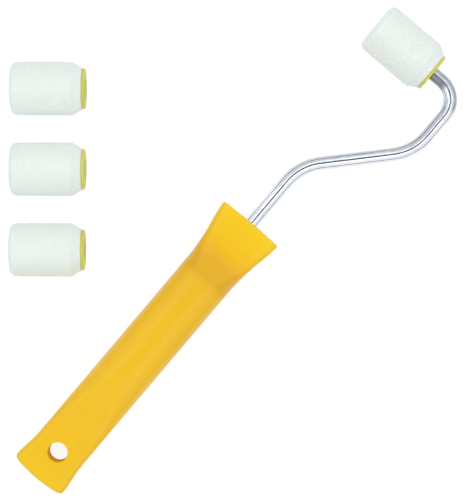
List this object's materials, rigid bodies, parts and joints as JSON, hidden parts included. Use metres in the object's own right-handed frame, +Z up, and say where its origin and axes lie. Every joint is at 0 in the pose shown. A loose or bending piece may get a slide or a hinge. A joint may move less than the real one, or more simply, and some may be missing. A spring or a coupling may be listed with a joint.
{
  "type": "mini paint roller with spare refills",
  "caption": "Mini paint roller: moulded handle with hang hole, cranked wire frame and small closed-end foam roller, with spare foam refills beside it.",
  "frame": {"origin": "centre of the hang hole at the middle of the handle's thickness", "axes": "+X along the handle towards the roller, +Y to the left seen from above, +Z up; the tool lies flat"},
  "size_m": [0.2772, 0.1738, 0.025],
  "materials": {
    "handle_plastic": "smooth moulded, satin",
    "zinc_wire": "bright zinc plate",
    "foam": "fine open-cell foam",
    "core_plastic": "natural moulded",
    "cap_plastic": "smooth moulded",
    "bush_plastic": "natural moulded"
  },
  "bodies": {
    "frame": {"handle_body": "handle_plastic", "nose_plug": "handle_plastic", "frame_wire": "zinc_wire"},
    "fitted_bush": {"fitted_axle_bush": "bush_plastic"},
    "fitted_roller": {"fitted_foam_cover": "foam", "fitted_core_tube": "core_plastic", "fitted_flange_cap": "cap_plastic"},
    "spare_1": {"spare_1_foam_cover": "foam", "spare_1_core_tube": "core_plastic", "spare_1_flange_cap": "cap_plastic"},
    "spare_1_bush": {"spare_1_axle_bush": "bush_plastic"},
    "spare_2": {"spare_2_foam_cover": "foam", "spare_2_core_tube": "core_plastic", "spare_2_flange_cap": "cap_plastic"},
    "spare_2_bush": {"spare_2_axle_bush": "bush_plastic"},
    "spare_3": {"spare_3_foam_cover": "foam", "spare_3_core_tube": "core_plastic", "spare_3_flange_cap": "cap_plastic"},
    "spare_3_bush": {"spare_3_axle_bush": "bush_plastic"}
  },
  "joints": [
    {"name": "roller_pull", "type": "slide", "parent": "frame", "child": "fitted_bush", "axis": [0, 1, 0], "range_m": [0, 0.05]},
    {"name": "roller_spin", "type": "hinge", "parent": "fitted_bush", "child": "fitted_roller", "pos_m": [0.24895, -0.0176, 0], "axis": [0, 1, 0], "continuous": true},
    {"name": "spare_1_lift", "type": "slide", "parent": "frame", "child": "spare_1", "axis": [0, 0, 1], "range_m": [0, 0.1]},
    {"name": "spare_1_spin", "type": "hinge", "parent": "spare_1", "child": "spare_1_bush", "pos_m": [0.1367, 0.10192, 0], "axis": [-0.6428, 0.766, 0], "continuous": true},
    {"name": "spare_2_lift", "type": "slide", "parent": "frame", "child": "spare_2", "axis": [0, 0, 1], "range_m": [0, 0.1]},
    {"name": "spare_2_spin", "type": "hinge", "parent": "spare_2", "child": "spare_2_bush", "pos_m": [0.10766, 0.07756, 0], "axis": [-0.6428, 0.766, 0], "continuous": true},
    {"name": "spare_3_lift", "type": "slide", "parent": "frame", "child": "spare_3", "axis": [0, 0, 1], "range_m": [0, 0.1]},
    {"name": "spare_3_spin", "type": "hinge", "parent": "spare_3", "child": "spare_3_bush", "pos_m": [0.07863, 0.05319, 0], "axis": [-0.6428, 0.766, 0], "continuous": true}
  ]
}
